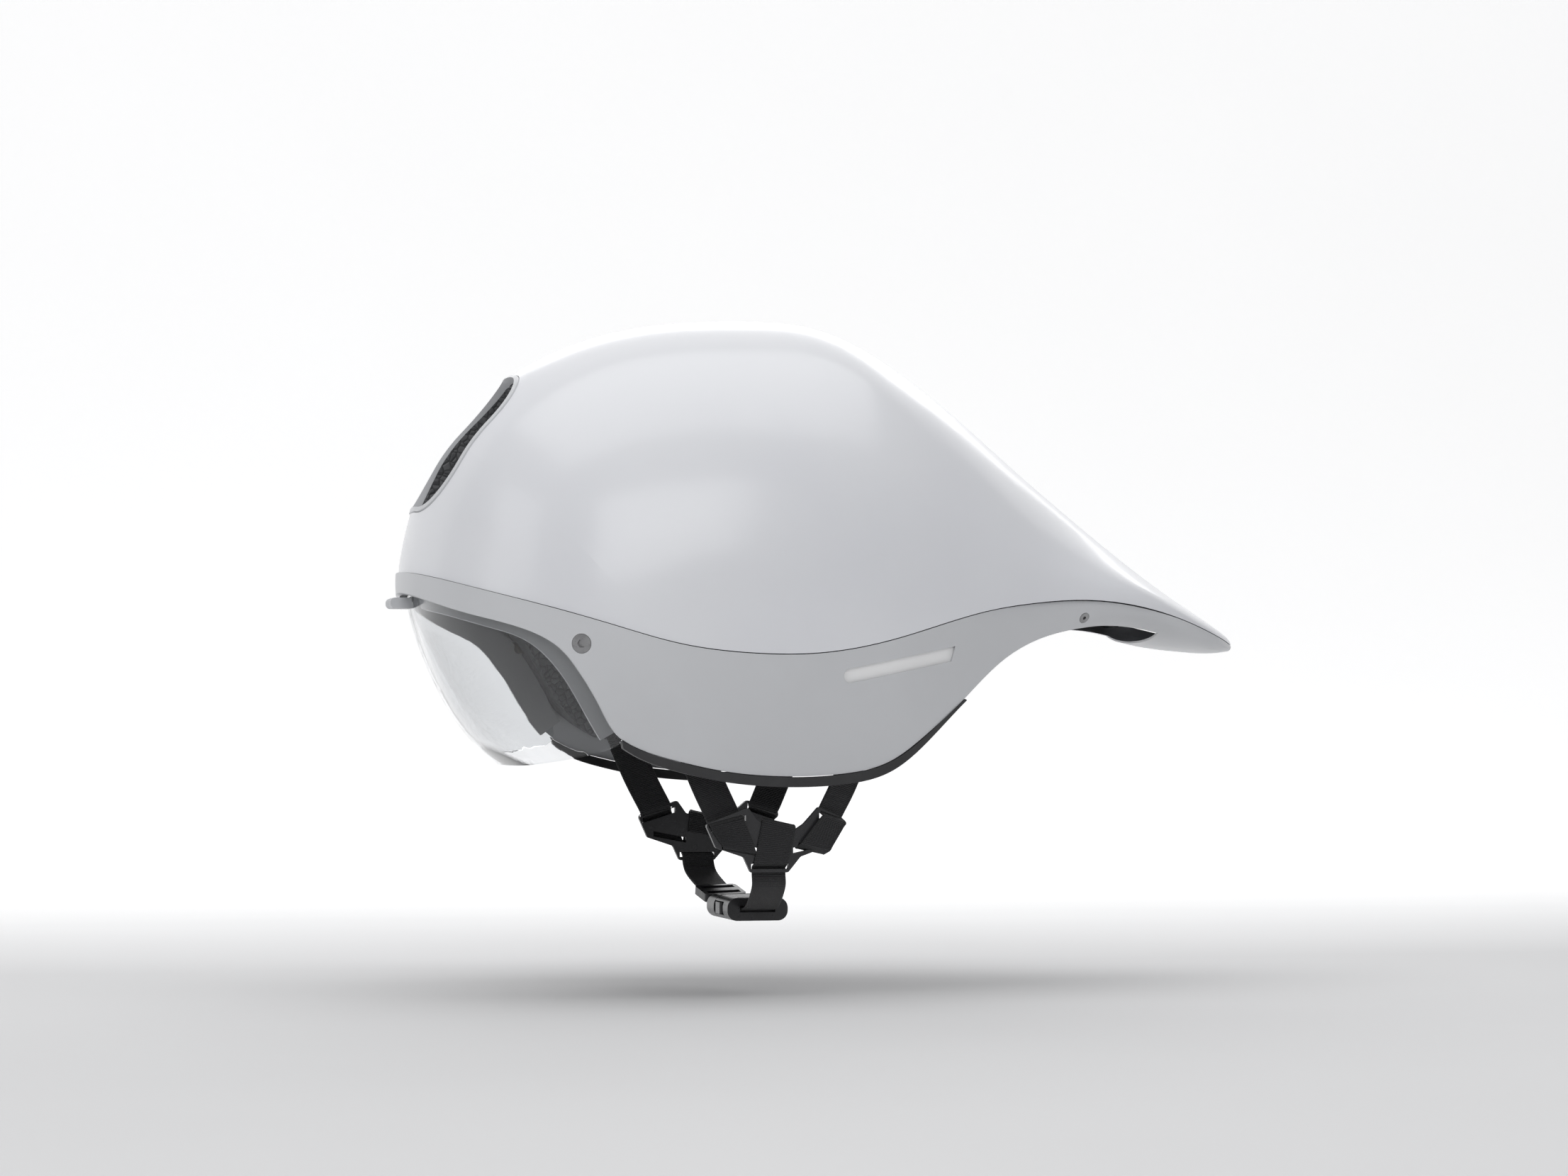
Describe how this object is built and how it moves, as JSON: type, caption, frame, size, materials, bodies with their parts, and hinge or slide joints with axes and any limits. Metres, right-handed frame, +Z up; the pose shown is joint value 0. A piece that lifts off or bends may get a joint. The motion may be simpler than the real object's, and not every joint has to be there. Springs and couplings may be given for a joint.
{
  "type": "aero bicycle helmet with visor",
  "caption": "Long-tailed aero bicycle helmet with a clear magnetic visor, intake vent, foam liner, dial-adjusted head cradle and buckled chin straps.",
  "frame": {"origin": "where the head sits: on the symmetry plane, level with the ears, under the crown", "axes": "+X towards the tail, -X the forehead and visor, -Y the wearer's left, +Z up"},
  "size_m": [0.3831, 0.2002, 0.2636],
  "materials": {
    "shell_gloss": "gloss white with a clear coat",
    "shell_satin": "white, satin",
    "vent_white": "white, satin",
    "inlay_white": "bright white",
    "foam_grey": "moulded bead foam, matte dark grey",
    "trim_black": "matte black rubber",
    "lens_clear": "clear polycarbonate",
    "tab_grey": "satin light grey",
    "steel": "stainless",
    "brass": "plain",
    "magnet": "nickel plated",
    "pad_fabric": "brushed knit over foam",
    "cradle_plastic": "satin nylon",
    "dial_plastic": "satin nylon",
    "webbing": "woven ribbed webbing",
    "buckle_plastic": "satin acetal"
  },
  "bodies": {
    "helmet": {"upper_shell": "shell_gloss", "lower_shell": "shell_satin", "visor_ledge_left": "shell_satin", "visor_ledge_right": "shell_satin", "vent_frame": "vent_white", "side_inlay_left": "inlay_white", "side_inlay_right": "inlay_white", "foam_liner": "foam_grey", "edge_trim": "trim_black", "temple_screw_left": "steel", "temple_screw_right": "steel", "tail_screw_left": "steel", "tail_screw_right": "steel", "temple_insert_left": "brass", "temple_insert_right": "brass", "shell_magnets_left": "magnet", "shell_magnets_right": "magnet", "brow_pad": "pad_fabric", "crown_pad": "pad_fabric", "top_pad_left": "pad_fabric", "top_pad_right": "pad_fabric", "side_pad_left": "pad_fabric", "side_pad_right": "pad_fabric", "height_rail_left": "cradle_plastic", "height_rail_right": "cradle_plastic", "front_strap_left": "webbing", "front_strap_right": "webbing", "rear_strap_left": "webbing", "rear_strap_right": "webbing", "chin_strap_left": "webbing", "divider_web_left": "webbing", "divider_web_right": "webbing", "buckle_housing": "buckle_plastic", "strap_divider_left": "buckle_plastic", "strap_divider_right": "buckle_plastic", "front_anchor_left": "buckle_plastic", "front_anchor_right": "buckle_plastic", "rear_anchor_left": "buckle_plastic", "rear_anchor_right": "buckle_plastic"},
    "visor": {"visor_lens": "lens_clear", "visor_tab": "tab_grey", "visor_magnets_left": "magnet", "visor_magnets_right": "magnet"},
    "cradle": {"cradle_frame": "cradle_plastic", "dial_cover": "cradle_plastic", "cradle_screws": "steel", "cradle_pad": "pad_fabric"},
    "dial": {"dial_knob": "dial_plastic", "dial_pinion": "dial_plastic"},
    "band_left": {"size_band_left": "cradle_plastic", "nape_pad_left": "pad_fabric"},
    "band_right": {"size_band_right": "cradle_plastic", "nape_pad_right": "pad_fabric"},
    "buckle_tongue": {"buckle_plug": "buckle_plastic", "ladder_lock": "buckle_plastic", "chin_strap_right": "webbing"},
    "prong_front": {"buckle_prong_front": "buckle_plastic"},
    "prong_rear": {"buckle_prong_rear": "buckle_plastic"}
  },
  "joints": [
    {"name": "visor_pull", "type": "slide", "parent": "helmet", "child": "visor", "axis": [-0.6, 0, -0.8], "range_m": [0, 0.06]},
    {"name": "cradle_height", "type": "slide", "parent": "helmet", "child": "cradle", "axis": [0, 0, 1], "range_m": [-0.008, 0.008]},
    {"name": "dial_turn", "type": "hinge", "parent": "cradle", "child": "dial", "pos_m": [0.116, 0, 0.02], "axis": [-1, 0, 0], "range_deg": [0, 55]},
    {"name": "band_left_draw", "type": "slide", "parent": "cradle", "child": "band_left", "axis": [0, 1, 0], "range_m": [0, 0.006]},
    {"name": "band_right_draw", "type": "slide", "parent": "cradle", "child": "band_right", "axis": [0, -1, 0], "range_m": [0, 0.006]},
    {"name": "buckle_release", "type": "slide", "parent": "helmet", "child": "buckle_tongue", "axis": [0, 1, 0], "range_m": [0, 0.025]},
    {"name": "prong_front_press", "type": "hinge", "parent": "buckle_tongue", "child": "prong_front", "pos_m": [0.0131, 0.0086, -0.1005], "axis": [0, 0, 1], "range_deg": [0, 8], "stiffness_Nm_per_rad": 0.02},
    {"name": "prong_rear_press", "type": "hinge", "parent": "buckle_tongue", "child": "prong_rear", "pos_m": [0.0309, 0.0086, -0.1005], "axis": [0, 0, -1], "range_deg": [0, 8], "stiffness_Nm_per_rad": 0.02}
  ],
  "couplings": [
    {"joint": "band_left_draw", "follows": "dial_turn", "m_per_rad": 0.006},
    {"joint": "band_right_draw", "follows": "dial_turn", "m_per_rad": 0.006}
  ]
}
